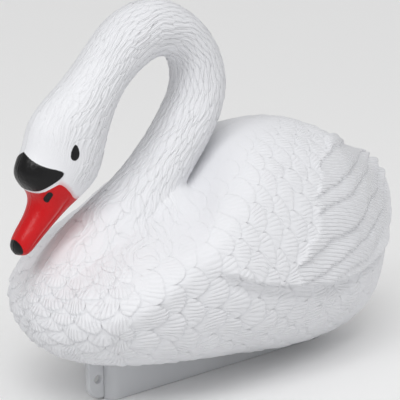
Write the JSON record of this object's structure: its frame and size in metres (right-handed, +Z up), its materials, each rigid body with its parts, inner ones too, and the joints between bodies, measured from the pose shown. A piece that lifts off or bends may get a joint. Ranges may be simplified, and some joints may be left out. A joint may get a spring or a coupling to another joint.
{
  "type": "floating swan ornament",
  "caption": "Hollow-moulded floating swan with a neck bowed over its breast, folded wings, a painted beak and a separate keel with a pierced fin for an anchor line.",
  "frame": {"origin": "on the keel's flat underside, under the middle of the part's box", "axes": "+Z up; the swan faces -Y, so +Y runs from breast to tail along its length; +X is the swan's left"},
  "size_m": [0.1952, 0.3768, 0.3017],
  "materials": {
    "white_plastic": "satin moulded white polyethylene, with black and red paint on the face",
    "keel_plastic": "satin moulded greyish white polyethylene"
  },
  "bodies": {
    "root": {"swan": "white_plastic", "keel": "keel_plastic"}
  },
  "joints": []
}
